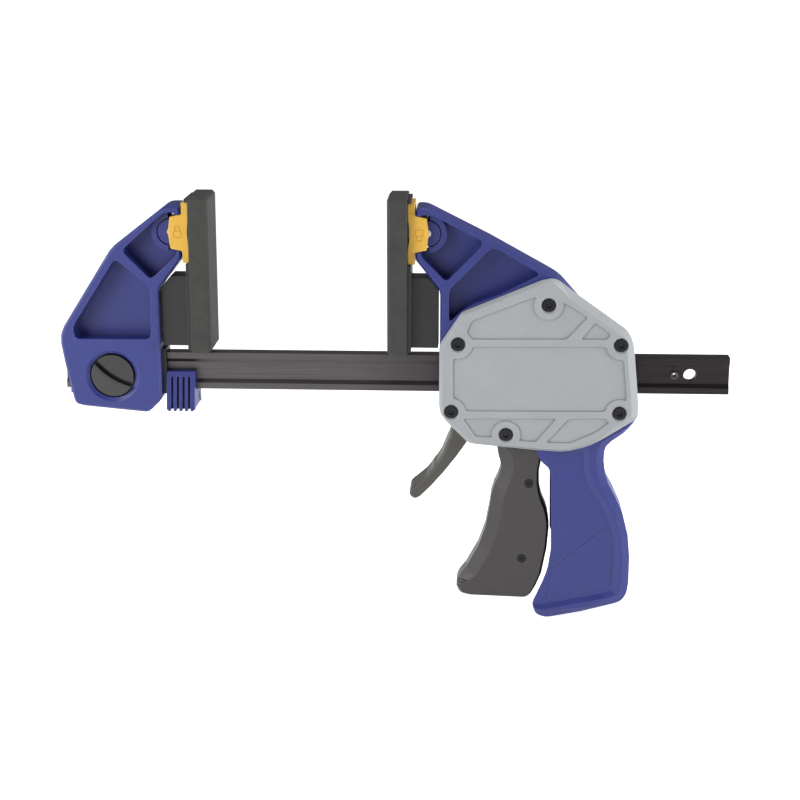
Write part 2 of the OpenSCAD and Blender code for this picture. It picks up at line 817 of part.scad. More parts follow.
// Points of the mechanism, counted from the jaw's wall
pivot_x = 0.422 * head_w;
lever_x = 0.13 * head_w;
lever_z = -0.187 * jaw_rise;
brake_x = 0.195 * head_w;
brake_rise = 6;
brake_top = bar_h / 2 + brake_rise;
brake_low = -0.325 * jaw_rise;
drive_x = 0.485 * head_w;
drive_rise = 5;
drive_drop = 10.5;
drive_top = bar_h / 2 + drive_rise;
drive_low = -bar_h / 2 - drive_drop;
guide_wall = 3;
guide_y = bar_w / 2 + clear + guide_wall;
guide_z = bar_h / 2 + clear + guide_wall;
guide_tongue = 4;
guide_left = stop_face - guide_tongue;
guide_right = 0.96 * head_w;
spring_drop = 5.7;
spring_z = -bar_h / 2 - spring_drop;
brake_spring_z = -0.272 * jaw_rise;
spring_seat_x = 0.302 * head_w;
seat_w = 3;
seat_margin = 1;
fulcrum_len = 5;
fulcrum_low = 3.2;
fulcrum_high = 1.4;

// Front edge of the grip from its foot up: it stands back from here towards the side without the cover
grip_edge_shares = [
    [0.5, -1.04], [0.487, -0.941], [0.531, -0.867], [0.565, -0.795], [0.58, -0.707], [0.575, -0.6]
];
grip_back_shares = [0.065, 0.065, 0.065, 0.065, 0.05, 0];
grip_edge_out = 0.02;

// Wedge cut from the grip's front edge, which starts outside the moulding
module grip_draft() {
    near = [for (p = grip_edge_shares) [p[0] - grip_edge_out, p[1]]];
    far = [for (i = [0:len(near) - 1]) [near[i][0] + grip_back_shares[i], near[i][1]]];
    rear = [[0.3, -0.6], [0.3, -1.04]];
    lofted([
        [-jaw_y - cut, sized(concat(near, rear), head_w, grip_drop)],
        [jaw_y + cut, sized(concat(far, rear), head_w, grip_drop)]
    ]);
}

// Sunk panel of the grip's side, cut from one face of the moulding, round a low plate
module grip_panel(side) {
    panel = sized(panel_shares, head_w, grip_drop);
    slope = 2 * grip_recess;
    mouth = [side * (jaw_y + cut), inset(panel, -slope * cut / grip_recess)];
    bed = [side * (jaw_y - grip_recess), inset(panel, slope)];
    top_y = side * (jaw_y - grip_recess + plate_rise);
    under_y = side * (jaw_y - grip_recess - cut);
    difference() {
        lofted(side < 0 ? [mouth, bed] : [bed, mouth]);
        slab(min(top_y, under_y), max(top_y, under_y))
            polygon(sized(plate_shares, head_w, grip_drop));
    }
}

// Bosses and ribs that stand on the body's back inside the housing
module body_bosses() {
    for (p = screw_places) peg(p[0], p[1], screw_boss_r, -jaw_y, back_y + cut / 2);
    // fulcrum of the brake plate
    box([brake_x - fulcrum_len, -plate_w / 2, brake_top - fulcrum_low],
        [brake_x - clear, back_y + cut / 2, brake_top + fulcrum_high]);
    // seat of the brake spring
    box([spring_seat_x, -spring_r - seat_margin, brake_low - 2 * seat_margin],
        [spring_seat_x + seat_w, back_y + cut / 2, brake_spring_z + spring_r + seat_margin]);
}

module handle_body() {
    color("#32387a")
        translate([head_x, 0, 0])
            difference() {
                union() {
                    difference() {
                        lofted([
                            [-jaw_y, inset(body_outline, body_bevels)],
                            [-jaw_y + body_bevel_d, body_outline],
                            [jaw_y - body_bevel_d, body_outline],
                            [jaw_y, inset(body_outline, body_bevels)]
                        ]);
                        // pockets of the jaw's arm
                        jaw_pocket(rounded(sized(moving_upper_shares, head_w, jaw_rise), pocket_corner));
                        jaw_pocket(rounded(sized(moving_lower_shares, head_w, jaw_rise), pocket_corner));
                        mirror([1, 0, 0]) hub_seat_cut();
                        // housing of the mechanism, open to the cover
                        slab(-jaw_y - cut, back_y) polygon(sized(cavity_shares, head_w, jaw_rise));
                        // well of the trigger, open to the front of the grip
                        slab(-well_y, well_y) polygon(sized(well_shares, head_w, grip_drop));
                        for (side = [-1, 1]) grip_panel(side);
                    }
                    mirror([1, 0, 0]) hub_boss();
                    body_bosses();
                }
                grip_draft();
                // way out for the release lever
                slab(-lever_w / 2 - clear, lever_w / 2 + clear)
                    polygon(sized(lever_way_shares, head_w, jaw_rise));
                // ways through the walls for the two bar guides
                box([-cut, -guide_y, -guide_z], [2 * wall, guide_y, guide_z]);
                box([guide_right - 2 * wall, -guide_y, -guide_z], [head_w + cut, guide_y, guide_z]);
                // holes of the screws and the pins
                for (p = screw_places)
                    peg(p[0], p[1], screw_r, -jaw_y - cut, -jaw_y - cover_floor + screw_len + cut);
                peg(pivot_x, pivot_z, pivot_r, -jaw_y, jaw_y - back_wall / 2);
                peg(lever_x, lever_z, lever_pin_r, -jaw_y, jaw_y - back_wall / 2);
            }
}

// Cover

cover_shares = [
    [0.128, 0.676], [0.106, 0.652], [-0.002, 0.33], [-0.002, -0.33], [0.016, -0.41], [0.149, -0.671],
    [0.312, -0.702], [0.482, -0.732], [0.638, -0.749], [0.753, -0.69], [0.819, -0.619], [1, -0.393],
    [1, -0.256], [0.966, 0.381], [0.934, 0.494], [0.677, 0.852], [0.577, 1], [0.524, 1]
];
// Reach of the rounded corners of the cover and of its panels
cover_corner = 2.6;
panel_corner = 1.6;
cover_outline = rounded(sized(cover_shares, head_w, cover_up), cover_corner);
// The bevel widens to a slope along the cover's free side
cover_bevels = [
    for (p = cover_outline)
        let (wide = along(p[0] / head_w, 0.56, 0.66) * along(p[1] / cover_up, -0.48, -0.4))
        cover_bevel + (cover_slope - cover_bevel) * wide
];
cover_bevel_d = 2.2;
cover_back_bevel = 0.2;
// Sunk panels: above, upper right, middle, lower left and lower right
cover_panel_shares = [
    [[0.133, 0.47], [0.16, 0.397], [0.633, 0.407], [0.736, 0.629], [0.615, 0.776], [0.465, 0.824],
        [0.16, 0.585]],
    [[0.703, 0.408], [0.835, 0.41], [0.851, 0.464], [0.772, 0.58]],
    [[0.137, -0.332], [0.823, -0.322], [0.941, -0.195], [0.921, 0.19], [0.823, 0.337], [0.167, 0.324],
        [0.067, 0.192], [0.069, -0.195]],
    [[0.121, -0.408], [0.183, -0.593], [0.267, -0.597], [0.413, -0.629], [0.491, -0.641], [0.592, -0.397]],
    [[0.653, -0.395], [0.541, -0.646], [0.663, -0.649], [0.797, -0.529], [0.859, -0.424], [0.841, -0.39]]
];
panel_ring_r = 8.4;
counterbore_mouth = 1.2;
cover_floor = 1.7;
pin_boss_wall = 2;

// Seat of a screw's head, with a bevelled mouth
module counterbore(x, z, r) {
    peg(x, z, r, cover_face - cut, -jaw_y - cover_floor);
    translate([x, cover_face + counterbore_mouth, z])
        rotate([90, 0, 0])
            cylinder(h = counterbore_mouth + cut, r1 = r, r2 = r + counterbore_mouth + cut);
}

module front_cover() {
    color("#a8abad")
        translate([head_x, 0, 0])
            difference() {
                union() {
                    lofted([
                        [cover_face, inset(cover_outline, cover_bevels)],
                        [cover_face + cover_bevel_d, cover_outline],
                        [-jaw_y - cover_back_bevel, cover_outline],
                        [-jaw_y, inset(cover_outline, cover_back_bevel)]
                    ]);
                    // bosses that hold the front ends of the two pins
                    peg(pivot_x, pivot_z, pivot_r + pin_boss_wall, -jaw_y - cut, -trigger_w / 2 - clear);
                    peg(lever_x, lever_z, lever_pin_r + pin_boss_wall, -jaw_y - cut, -lever_w / 2 - clear);
                }
                for (shares = cover_panel_shares)
                    slab(cover_face - cut, cover_face + panel_depth)
                        difference() {
                            polygon(rounded(sized(shares, head_w, cover_up), panel_corner));
                            for (p = screw_places) translate(p) circle(r = panel_ring_r);
                        }
                for (p = screw_places) {
                    counterbore(p[0], p[1], screw_head_r + clear);
                    peg(p[0], p[1], screw_r + clear, cover_face, -jaw_y + cut);
                }
                peg(pivot_x, pivot_z, pivot_r, -jaw_y - cover_t / 4, jaw_y);
                peg(lever_x, lever_z, lever_pin_r, -jaw_y - cover_t / 4, jaw_y);
            }
}

screw_socket_r = 1.9;
screw_socket_d = 1.4;

module cover_screws() {
    seat = -jaw_y - cover_floor;
    color("#1e1e1f")
        translate([head_x, 0, 0])
            for (p = screw_places)
                difference() {
                    union() {
                        peg(p[0], p[1], screw_head_r, seat - screw_head_h, seat);
                        peg(p[0], p[1], screw_r, seat - cut / 2, seat + screw_len);
                    }
                    translate([p[0], seat - screw_head_h + screw_socket_d, p[1]])
                        rotate([90, 0, 0])
                            cylinder(h = screw_socket_d + cut, r = screw_socket_r, $fn = 6);
                }
}

// Bar guides

module front_bar_guide() {
    color("#2c2b2c")
        translate([head_x, 0, 0])
            difference() {
                box([edge_bevel, -guide_y, -guide_z], [2 * wall - clear, guide_y, guide_z]);
                box([0, -bar_w / 2 - clear, -bar_h / 2 - clear],
                    [2 * wall + cut, bar_w / 2 + clear, bar_h / 2 + clear]);
            }
}

// The rear guide also holds the drive spring's seat and the tongues that meet the stop pin
module rear_bar_guide() {
    channel_z = bar_h / 2 - flange_t - flange_slope - clear;
    color("#2c2b2c")
        translate([head_x, 0, 0])
            union() {
                difference() {
                    union() {
                        box([guide_left, -guide_y, -guide_z], [guide_right, guide_y, guide_z]);
                        box([guide_left, -guide_y, drive_low], [stop_face, guide_y, -guide_z / 2]);
                    }
                    box([guide_left - cut, -bar_w / 2 - clear, -bar_h / 2 - clear],
                        [guide_right + cut, bar_w / 2 + clear, bar_h / 2 + clear]);
                }
                for (side = [-1, 1])
                    box([guide_left, min(side * (web_t / 2 + clear), side * guide_y), -channel_z],
                        [stop_face, max(side * (web_t / 2 + clear), side * guide_y), channel_z]);
            }
}

// Trigger: two hollow halves round the pivot pin, one on each side of the bar

trigger_shares = [
    [0.296, -0.319], [0.318, -0.359], [0.318, -0.385], [0.297, -0.431],
    [0.273, -0.471], [0.26, -0.544], [0.241, -0.629], [0.205, -0.711], [0.141, -0.803],
    [0.098, -0.845], [0.09, -0.88], [0.112, -0.913], [0.167, -0.922], [0.463, -0.929],
    [0.498, -0.893], [0.535, -0.821], [0.56, -0.714], [0.569, -0.623], [0.566, -0.581],
    [0.55, -0.541], [0.521, -0.487], [0.513, -0.441], [0.512, -0.388], [0.522, -0.347],
    [0.53, -0.3], [0.515, -0.23], [0.5, -0.187], [0.388, -0.187], [0.388, -0.256], [0.297, -0.266]
];
trigger_corner = 3;
trigger_outline = rounded(sized(trigger_shares, head_w, grip_drop), trigger_corner);
trigger_screw_places = sized([[0.461, -0.437], [0.431, -0.753]], head_w, grip_drop);
trigger_split = 0.1;
trigger_bevel = 1.6;
trigger_bevel_d = 3.6;
arm_w = 10.6;
arm_inset = 0.3;
arm_gap = 1;
arm_y = bar_w / 2 + arm_gap;
nose_r = 2;
nose_drop = 9;
nose_z = -bar_h / 2 - nose_drop;
arm_hub_wall = 3.5;
arm_hub_r = pivot_r + arm_hub_wall;
boss_r = 3;
small_screw_r = 1.3;
small_head_r = 2.9;
small_head_h = 1.6;

// Width of the bevel at each point: wide along the front edge, which the fingers pull
function trigger_bevels(points) = [
    for (p = points)
        let (
            front = along(p[0] / head_w, 0.37, 0.34),
            top = along(-p[1] / grip_drop, 0.27, 0.32),
            foot = along(-p[1] / grip_drop, 0.88, 0.81)
        )
        trigger_bevel + (trigger_chamfer - trigger_bevel) * front * top * foot
];

// One arm from the trigger up past the bar to the pivot, with the nose that pushes the drive plates
module trigger_arm() {
    nose_x = drive_x - 1.3 * clear - nose_r;
    arm_left = pivot_x - arm_w / 2;
    slab(-trigger_w / 2 + arm_inset, -arm_y)
        union() {
            translate([pivot_x, pivot_z]) circle(r = arm_hub_r);
            polygon([
                [arm_left, pivot_z], [arm_left, -0.21 * grip_drop], [nose_x - nose_r / 2, -0.21 * grip_drop],
                [nose_x - nose_r / 2, nose_z - nose_r / 2], [nose_x, nose_z - nose_r],
                [nose_x + nose_r, nose_z], [pivot_x + arm_hub_r * 0.8, nose_z + 4 * nose_r],
                [pivot_x + arm_hub_r * 0.9, pivot_z]
            ]);
            translate([nose_x, nose_z]) circle(r = nose_r);
        }
}

module trigger_half() {
    inner = trigger_w / 2 - trigger_wall;
    face = inset(trigger_outline, trigger_bevels(trigger_outline));
    plain = sized(trigger_shares, head_w, grip_drop);
    hollow = [for (w = trigger_bevels(plain)) trigger_wall + 0.7 * (w - trigger_bevel)];
    difference() {
        union() {
            difference() {
                lofted([
                    [-trigger_w / 2, face],
                    [-trigger_w / 2 + trigger_bevel_d, trigger_outline],
                    [trigger_w / 2 - trigger_bevel_d, trigger_outline],
                    [trigger_w / 2, face]
                ]);
                box([0, -trigger_split, -grip_drop], [head_w, trigger_w, cut]);
                slab(-inner, trigger_w) polygon(inset(plain, hollow));
            }
            for (p = trigger_screw_places)
                peg(p[0], p[1], boss_r, -trigger_w / 2 + trigger_wall / 2, -trigger_split);
            trigger_arm();
        }
        peg(pivot_x, pivot_z, pivot_r + run, -jaw_y, 0);
    }
}

module trigger_front_half() {
    color("#504b4a")
        translate([head_x, 0, 0])
            difference() {
                trigger_half();
                // seats and clearance holes of the two screws
                for (p = trigger_screw_places) {
                    peg(p[0], p[1], small_head_r, -trigger_w / 2 - cut, -trigger_w / 2 + small_head_h);
                    peg(p[0], p[1], small_screw_r, -trigger_w / 2, cut);
                }
            }
}

module trigger_rear_half() {
    color("#504b4a")
        translate([head_x, 0, 0])
            difference() {
                mirror([0, 1, 0]) trigger_half();
                for (p = trigger_screw_places)
                    peg(p[0], p[1], small_screw_r, -cut, trigger_w / 2 - trigger_wall);
            }
}

module trigger_screws() {
    seat = -trigger_w / 2 + small_head_h;
    color("#2a2a2a")
        translate([head_x, 0, 0])
            for (p = trigger_screw_places)
                difference() {
                    union() {
                        peg(p[0], p[1], small_head_r - 2 * run, seat - 0.8 * small_head_h, seat);
                        peg(p[0], p[1], small_screw_r, seat - cut / 2, trigger_w / 2 - trigger_wall - clear);
                    }
                    // crossed recess
                    for (turn = [0, 90])
                        translate([p[0], 0, p[1]])
                            rotate([0, turn, 0])
                                box([-small_head_r / 2, -trigger_w, -small_screw_r / 4],
                                    [small_head_r / 2, seat - small_head_h / 3, small_screw_r / 4]);
                }
}

module trigger_pin() {
    color("silver")
        translate([head_x, 0, 0]) peg(pivot_x, pivot_z, pivot_r, -jaw_y - cover_t / 4, jaw_y - back_wall / 2);
}

// Drive and brake

module plate(x0, t, low, top, hole_h) {
    difference() {
        box([x0, -plate_w / 2, low], [x0 + t, plate_w / 2, top]);
        box([x0 - cut, -bar_w / 2 - clear, -hole_h / 2], [x0 + t + cut, bar_w / 2 + clear, hole_h / 2]);
    }
}

module drive_plates() {
    color("gray")
        translate([head_x, 0, 0])
            for (i = [0:drive_count - 1])
                plate(drive_x + i * (drive_t + clear / 3), drive_t, drive_low, drive_top, bar_h + 2 * clear);
}

// The plate hangs from its upper front edge and leans with its foot towards the release lever
module brake_plate() {
    color("gray")
        translate([head_x + brake_x, 0, brake_top])
            rotate([0, brake_tilt, 0])
                translate([0, 0, -brake_top])
                    plate(0, brake_t, brake_low, brake_top, bar_h + brake_t * sin(brake_tilt) + 2.6 * clear);
}

// One tube of wire wound along X
rings_per_turn = 8;
wire_sides = 6;

function coil_point(x0, length, r, k, n) =
    [x0 + length * k / n, r * cos(360 * k / rings_per_turn), r * sin(360 * k / rings_per_turn)];

module coil(x0, length, z) {
    r = spring_r - wire_d / 2;
    n = spring_turns * rings_per_turn;
    span = length - wire_d;
    rise = span / n;
    verts = [
        for (k = [0:n])
            let (
                a = 360 * k / rings_per_turn,
                centre = coil_point(x0 + wire_d / 2, span, r, k, n),
                out = [0, cos(a), sin(a)],
                step = r * 2 * PI / rings_per_turn,
                aside = unit(cross(out, [rise, -sin(a) * step, cos(a) * step]))
            )
            for (s = [0:wire_sides - 1])
                centre + wire_d / 2 * (out * cos(360 * s / wire_sides) + aside * sin(360 * s / wire_sides))
    ];
    sides = [
        for (k = [0:n - 1])
            for (s = [0:wire_sides - 1])
                let (
                    a = k * wire_sides + s,
                    b = k * wire_sides + (s + 1) % wire_sides
                )
                for (f = [[a, b, b + wire_sides], [a, b + wire_sides, a + wire_sides]]) f
    ];
    caps = [
        [for (s = [wire_sides - 1:-1:0]) s],
        [for (s = [0:wire_sides - 1]) n * wire_sides + s]
    ];
    translate([0, 0, z]) polyhedron(verts, concat(sides, caps));
    echo(least_gap_between_coils = span / spring_turns - wire_d);
}

drive_spring_x = drive_x + drive_count * (drive_t + clear / 3) + clear / 3;

module drive_spring() {
    color("silver")
        translate([head_x, 0, 0]) coil(drive_spring_x, guide_left - clear / 3 - drive_spring_x, spring_z);
}

// Front end of the brake spring, on the leaning plate's back
brake_spring_rise = brake_spring_z + spring_r - brake_top;
brake_spring_x = brake_x + brake_t / cos(brake_tilt) + brake_spring_rise * tan(brake_tilt) + clear / 3;

module brake_spring() {
    color("silver")
        translate([head_x, 0, 0])
            coil(brake_spring_x, spring_seat_x - clear / 3 - brake_spring_x, brake_spring_z);
}

// Release lever

lever_shares = [
    [0.065, -0.204], [0.051, -0.25], [0.025, -0.299], [0.002, -0.343], [-0.028, -0.37], [-0.052, -0.402],
    [-0.083, -0.424], [-0.119, -0.448], [-0.147, -0.465], [-0.155, -0.484], [-0.146, -0.499],
    [-0.125, -0.508], [-0.102, -0.501], [-0.041, -0.453], [0.023, -0.395], [0.088, -0.329],
    [0.145, -0.264], [0.153, -0.227], [0.161, -0.2], [0.157, -0.16], [0.147, -0.125], [0.113, -0.125],
    [0.096, -0.165]
];
lever_corner = 2.4;
lever_outline = rounded(sized(lever_shares, head_w, grip_drop), lever_corner);
lever_hub_r = 4.2;
lever_bevel = 1.2;

module release_lever() {
    hub_w = lever_w - lever_bevel;
    color("#56544f")
        translate([head_x, 0, 0])
            difference() {
                union() {
                    bevelled(lever_outline, -lever_w / 2, lever_w / 2, lever_bevel, lever_bevel);
                    peg(lever_x, lever_z, lever_hub_r, -hub_w / 2, hub_w / 2);
                }
                peg(lever_x, lever_z, lever_pin_r + run, -jaw_y, jaw_y);
            }
}

module release_pin() {
    color("silver")
        translate([head_x, 0, 0])
            peg(lever_x, lever_z, lever_pin_r, -jaw_y - cover_t / 4, jaw_y - back_wall / 2);
}

bar();
stop_pin();
fixed_jaw();
bar_sleeve();
lock_knob();
lock_shaft();
bar_clip();
fixed_swivel_pin();
fixed_swivel_block();
fixed_pad_carrier();
fixed_pad();
handle_body();
front_cover();
cover_screws();
front_bar_guide();
rear_bar_guide();
moving_swivel_pin();
moving_swivel_block();
moving_pad_carrier();
moving_pad();
trigger_front_half();
trigger_rear_half();
trigger_screws();
trigger_pin();
drive_plates();
drive_spring();
brake_plate();
brake_spring();
release_lever();
release_pin();
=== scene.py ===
import math

import bpy
import numpy as np
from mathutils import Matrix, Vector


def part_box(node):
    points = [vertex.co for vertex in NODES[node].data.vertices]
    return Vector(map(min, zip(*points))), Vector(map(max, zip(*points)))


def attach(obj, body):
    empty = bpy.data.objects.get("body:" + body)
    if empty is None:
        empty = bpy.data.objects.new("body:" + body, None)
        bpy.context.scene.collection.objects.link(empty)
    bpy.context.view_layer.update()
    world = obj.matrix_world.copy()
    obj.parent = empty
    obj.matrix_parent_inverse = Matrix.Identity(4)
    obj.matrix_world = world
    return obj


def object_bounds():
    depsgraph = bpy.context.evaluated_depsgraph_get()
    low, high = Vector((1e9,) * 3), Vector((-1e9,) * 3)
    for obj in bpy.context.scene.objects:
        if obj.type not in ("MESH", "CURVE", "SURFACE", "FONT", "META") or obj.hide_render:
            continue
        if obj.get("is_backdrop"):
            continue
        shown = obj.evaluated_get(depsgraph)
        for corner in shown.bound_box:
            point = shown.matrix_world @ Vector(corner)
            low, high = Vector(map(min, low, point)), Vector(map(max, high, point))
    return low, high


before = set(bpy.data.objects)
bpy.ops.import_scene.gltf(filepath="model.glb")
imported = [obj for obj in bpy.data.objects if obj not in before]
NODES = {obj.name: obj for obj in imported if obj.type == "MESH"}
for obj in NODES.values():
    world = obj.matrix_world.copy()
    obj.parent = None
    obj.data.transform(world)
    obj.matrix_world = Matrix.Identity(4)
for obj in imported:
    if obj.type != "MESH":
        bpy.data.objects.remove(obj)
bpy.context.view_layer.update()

bl_info = {
    "name": "Bar clamp",
    "version": (1, 0, 0),
    "blender": (4, 5, 0),
    "location": "View3D > Sidebar > Bar clamp",
    "description": "Dresses a quick release bar clamp: finishes, relief marks, light and camera",
    "category": "Object",
}

MM = 0.001

# The colour sockets of a Mix node share their names with its other sockets, so they go by number
MIX_A, MIX_B, MIX_COLOUR = 6, 7, 2

# Nearly all of a noise pattern's values lie between these two
NOISE_LOW, NOISE_HIGH = 0.3, 0.7
NOISE_BAND = {"From Min": NOISE_LOW, "From Max": NOISE_HIGH}

# Samples of the nodes that round an edge and find a corner
EDGE_SAMPLES, CORNER_SAMPLES = 6, 8

# Moulded plastic: the real grain is about 0.2 mm, and is drawn coarser here so that it shows
FLOW_SIZE = 14 * MM
GRAIN_SIZE = 0.9 * MM
GRAIN_DEPTH = 0.05 * MM
GRAIN_STRENGTH = 0.2
MOULDED_EDGE = 0.5 * MM
MOULDED_SHINE = (-0.05, 0.06)
MOULDED_IOR = 1.53

# Wear begins and is full where the rounded normal leans from the face's own by these cosines
WEAR_BEGINS, WEAR_FULL = 0.995, 0.88

# Painted shade in corners: its reach, the share of light that it takes, and the openness where it
# fades
PAINTED_SHADE_REACH = 1.6 * MM
PAINTED_SHADE_SHARE = 0.45
PAINTED_SHADE_FULL, PAINTED_SHADE_GONE = 0.45, 0.95

# Pad rubber: soft clouds, with specks of bloom that fade from this share over this distance
CLOUD_SIZE = 9 * MM
CLOUD_HIGH = 0.72
BLOOM_SHARE, BLOOM_REACH = 0.25, 0.35
SPECK_SIZE = 1.5 * MM
SPECK_DEPTH = 0.08 * MM
SPECK_STRENGTH = 0.35
RUBBER_EDGE = 0.6 * MM
RUBBER_ROUGH, RUBBER_SPECULAR = 0.72, 0.4
RUBBER_IOR = 1.52

# Bar steel: draw lines along X, and the two X between which the painted reflection fades to black
LINE_LENGTH = 60 * MM
LINE_WIDTH = 0.35 * MM
LINE_DEPTH = 0.02 * MM
LINE_STRENGTH = 0.25
LINE_DARK, LINE_LIGHT = 0.8, 1.25
DRAWN_EDGE = 0.35 * MM
DRAWN_SHINE = (-0.06, 0.08)
REFLECTION_END, BLACK_START = -0.2, -0.11

# Ground steel: cloudy marks of the grinding
GRIND_SIZE = 2 * MM
GRIND_DARK, GRIND_LIGHT = 0.9, 1.08
GRIND_SHINE = (-0.05, 0.07)

# The padlock mark's parts as shares of its width, and its case's power: 1 is round, 0 is square
CASE_HALF_WIDTH, CASE_HALF_HEIGHT = 0.5, 0.42
CASE_POWER = 0.45
SHACKLE_RADIUS, SHACKLE_RISE = 0.33, 0.3
BEAD_WIDTH = 0.16

# How deep the mark's foot is sunk, and the points round its case, arch, legs and section
BEAD_SUNK = 0.02 * MM
CASE_POINTS, ARCH_POINTS, LEG_POINTS, SECTION_POINTS = 48, 17, 5, 9

# The camera, in metres and degrees, with its lens and sensor in millimetres
CAMERA_PLACE = (-0.1245, -0.9838, 0.2408)
CAMERA_DOWN, CAMERA_LEFT = 14.713, 2.67
CAMERA_LENS, CAMERA_SENSOR = 76.94, 36.0
CAMERA_REACH = 100.0

# The soft boxes: name, place and size in metres, and power in watts
LAMPS = (
    ("Left front box", (-0.95, -0.7, 0.3), 0.6, 6.2),
    ("Right side box", (0.9, -0.1, 0.2), 0.9, 14.0),
    ("Left side box", (-1.3, -0.1, 0.2), 0.9, 5.0),
    ("Top box", (0.0, 0.1, 1.2), 1.0, 4.0),
)
LAMP_TARGET = (-0.15, 0.0, -0.02)
DOME_STRENGTH = 0.2

# The floor: a sheet just under the clamp, with a glow that brings what the camera sees to white
FLOOR_HALF = 4
FLOOR_LINES = 9
FLOOR_DROP = 0.0002
FLOOR_GLOW = 0.84
PAPER_CLOUDS = 3.0


def linear(code):
    """An sRGB hex colour as linear RGBA, which the materials take."""
    rgb = np.array([int(code[i : i + 2], 16) for i in (1, 3, 5)]) / 255
    rgb = np.where(rgb <= 0.04045, rgb / 12.92, ((rgb + 0.055) / 1.055) ** 2.4)
    return (*rgb.tolist(), 1.0)


def shade(colour, factor):
    """A linear colour with its light multiplied by a factor."""
    return (*np.minimum(np.array(colour[:3]) * factor, 1).tolist(), 1.0)


def grey(level):
    """A linear grey, where 1 is white."""
    return (level, level, level, 1.0)


def plug(tree, node, inputs):
    """Gives each input of a node a value, or a link where the value is another node's output."""
    for key, value in inputs.items():
        socket = node.inputs[key]
        if isinstance(value, bpy.types.NodeSocket):
            tree.links.new(value, socket)
        else:
            socket.default_value = value


def add(tree, kind, inputs=None, **settings):
    """Adds one node, with its own properties from settings and its sockets from inputs."""
    node = tree.nodes.new(kind)
    for name, value in settings.items():
        setattr(node, name, value)
    plug(tree, node, inputs or {})
    return node


def bare_tree(owner):
    """The emptied node tree of a material or a world."""
    owner.use_nodes = True
    owner.node_tree.nodes.clear()
    return owner.node_tree


def fresh(name):
    """A new material, its tree, its principled shader and the object coordinates."""
    material = bpy.data.materials.new(name)
    tree = bare_tree(material)
    shader = add(tree, "ShaderNodeBsdfPrincipled")
    add(tree, "ShaderNodeOutputMaterial", {"Surface": shader.outputs["BSDF"]})
    place = add(tree, "ShaderNodeTexCoord").outputs["Object"]
    return material, tree, shader, place


def ramp(tree, value, dark, light, low=NOISE_LOW, high=NOISE_HIGH):
    """Turns a value between low and high into a colour between dark and light."""
    step = add(tree, "ShaderNodeMapRange", {"Value": value, "From Min": low, "From Max": high})
    mix = add(
        tree,
        "ShaderNodeMix",
        {"Factor": step.outputs["Result"], MIX_A: dark, MIX_B: light},
        data_type="RGBA",
    )
    return mix.outputs[MIX_COLOUR]


def moulded_plastic(name, colour, edge, rough=0.42, mottle=0.07):
    """Plastic moulded in a spark-eroded tool: an even satin with a fine grain, a faint flow mottle
    some 14 mm across, and edges that are worn a little lighter. Painted shade darkens the corners
    of steps and pockets within about 1.6 mm."""
    material, tree, shader, place = fresh(name)
    flow = add(tree, "ShaderNodeTexNoise", {"Vector": place, "Scale": 1 / FLOW_SIZE, "Detail": 3.0})
    tone = ramp(tree, flow.outputs["Fac"], shade(colour, 1 - mottle), shade(colour, 1 + mottle))

    rounded = add(
        tree,
        "ShaderNodeBevel",
        {"Radius": MOULDED_EDGE},
        samples=EDGE_SAMPLES,
    ).outputs["Normal"]
    flat = add(tree, "ShaderNodeNewGeometry").outputs["Normal"]
    facing = add(tree, "ShaderNodeVectorMath", {0: rounded, 1: flat}, operation="DOT_PRODUCT")
    worn = add(
        tree,
        "ShaderNodeMapRange",
        {"Value": facing.outputs["Value"], "From Min": WEAR_BEGINS, "From Max": WEAR_FULL},
    )
    worn_tone = add(
        tree,
        "ShaderNodeMix",
        {"Factor": worn.outputs["Result"], MIX_A: tone, MIX_B: edge},
        data_type="RGBA",
    )

    # Painted shade: the corners of steps and pockets within about 1.6 mm are darkened
    corner = add(
        tree,
        "ShaderNodeAmbientOcclusion",
        {"Distance": PAINTED_SHADE_REACH},
        samples=CORNER_SAMPLES,
        only_local=True,
    )
    corner_shade = ramp(
        tree, corner.outputs["AO"], grey(1 - PAINTED_SHADE_SHARE), grey(1), low=PAINTED_SHADE_FULL, high=PAINTED_SHADE_GONE
    )
    shaded_tone = add(
        tree,
        "ShaderNodeMix",
        {"Factor": 1.0, MIX_A: worn_tone.outputs[MIX_COLOUR], MIX_B: corner_shade},
        data_type="RGBA",
        blend_type="MULTIPLY",
    )

    grain = add(
        tree,
        "ShaderNodeTexNoise",
        {"Vector": place, "Scale": 1 / GRAIN_SIZE, "Detail": 2.0},
    ).outputs["Fac"]
    bump = add(
        tree,
        "ShaderNodeBump",
        {
            "Strength": GRAIN_STRENGTH,
            "Distance": GRAIN_DEPTH,
            "Height": grain,
            "Normal": rounded,
        },
    )
    shine = add(
        tree,
        "ShaderNodeMapRange",
        {
            "Value": grain,
            **NOISE_BAND,
            "To Min": rough + MOULDED_SHINE[0],
            "To Max": rough + MOULDED_SHINE[1],
        },
    )
    plug(
        tree,
        shader,
        {
            "Base Color": shaded_tone.outputs[MIX_COLOUR],
            "Normal": bump.outputs["Normal"],
            "Roughness": shine.outputs["Result"],
            "IOR": MOULDED_IOR,
        },
    )
    return material


